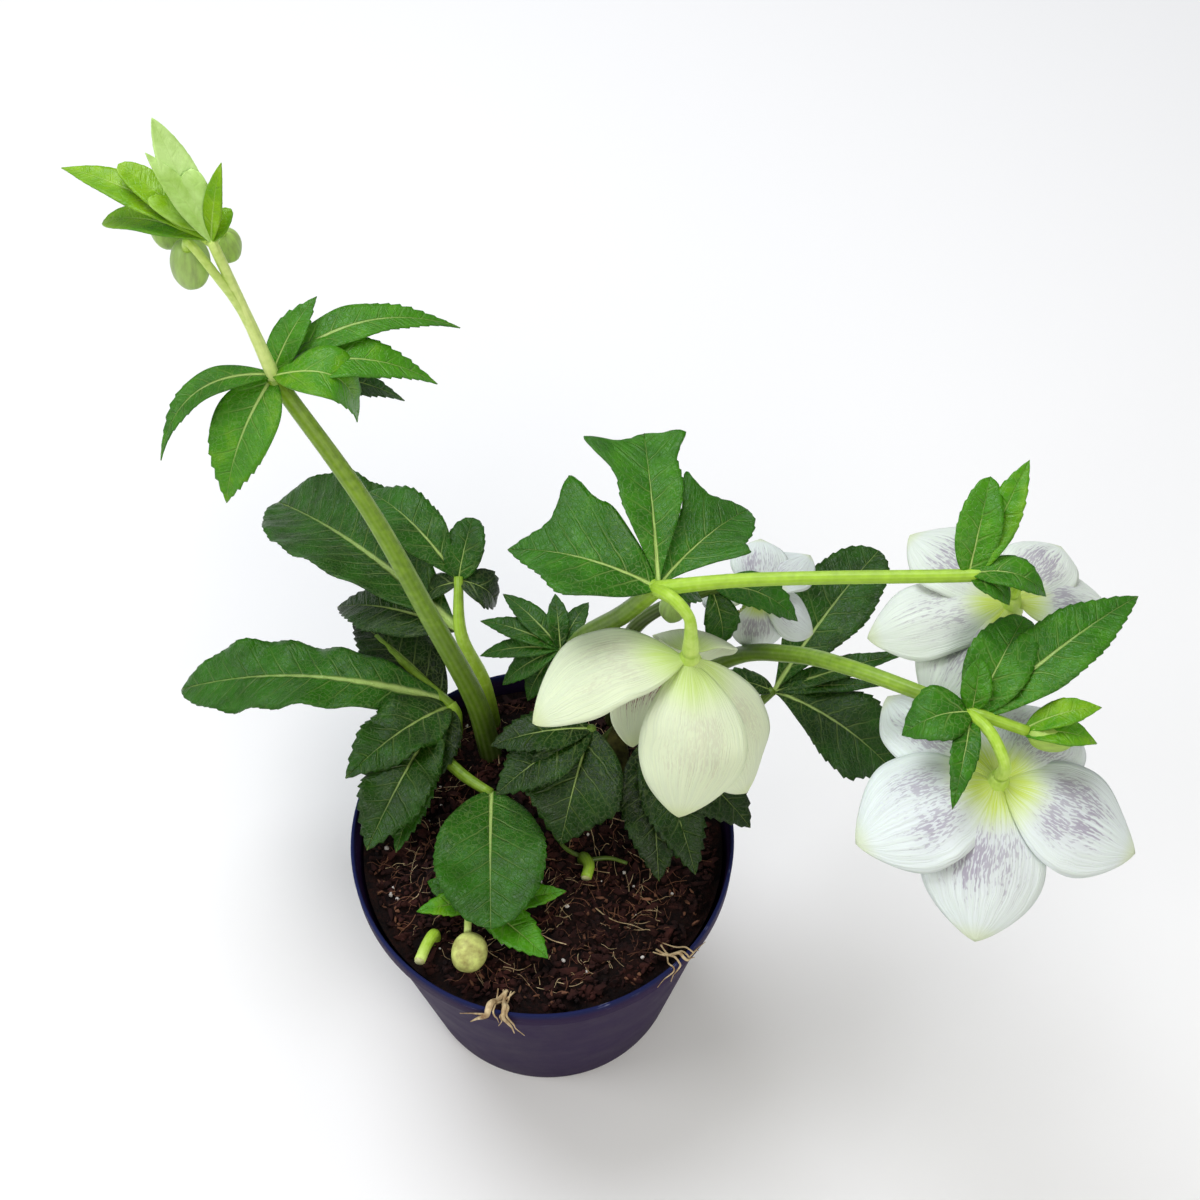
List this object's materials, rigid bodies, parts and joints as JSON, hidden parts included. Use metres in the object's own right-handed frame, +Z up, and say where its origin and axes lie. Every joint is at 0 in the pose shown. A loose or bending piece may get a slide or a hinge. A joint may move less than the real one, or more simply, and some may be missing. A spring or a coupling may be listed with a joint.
{
  "type": "potted hellebore plant",
  "caption": "Hellebore plant with tall leafy stems, nodding open blooms, closed buds and toothed basal leaves, growing in a round nursery pot of dark compost.",
  "frame": {"origin": "middle of the underside of the pot, on the surface that it stands on", "axes": "+Z up; -Y towards the front of the plant, +X to its right; the pot's axis is Z"},
  "size_m": [0.3222, 0.2304, 0.3572],
  "materials": {
    "pot_plastic": "moulded, satin, scuffed",
    "compost": "loose peat and bark fibre",
    "young_green": "smooth young leaf and stem skin",
    "leaf_green": "glossy mature leaf",
    "sepal_cream": "satin petal",
    "sepal_white": "satin petal",
    "heart": "powdery stamens",
    "bud": "closed sepals",
    "stalk": "cut green stalk",
    "dry_sheath": "dry leaf sheath"
  },
  "bodies": {
    "root": {"pot": "pot_plastic", "compost": "compost", "stem_a": "young_green", "bud_a1": "bud", "bud_a2": "bud", "bud_a3": "bud", "stem_b": "young_green", "stem_c": "young_green", "stem_d": "young_green", "bloom_middle": "sepal_cream", "bloom_right": "sepal_white", "bloom_upper": "sepal_white", "bloom_back": "sepal_white", "heart_middle": "heart", "heart_right": "heart", "heart_upper": "heart", "heart_back": "heart", "bud_grey": "bud", "leaf_north": "leaf_green", "leaf_west": "leaf_green", "leaf_centre": "leaf_green", "leaf_front": "leaf_green", "leaf_front_low": "leaf_green", "leaf_south_east": "leaf_green", "leaf_east": "leaf_green", "young_shoot": "young_green", "shoot_bud": "bud", "stub_left": "stalk", "stub_middle": "stalk", "old_sheath": "dry_sheath"}
  },
  "joints": []
}
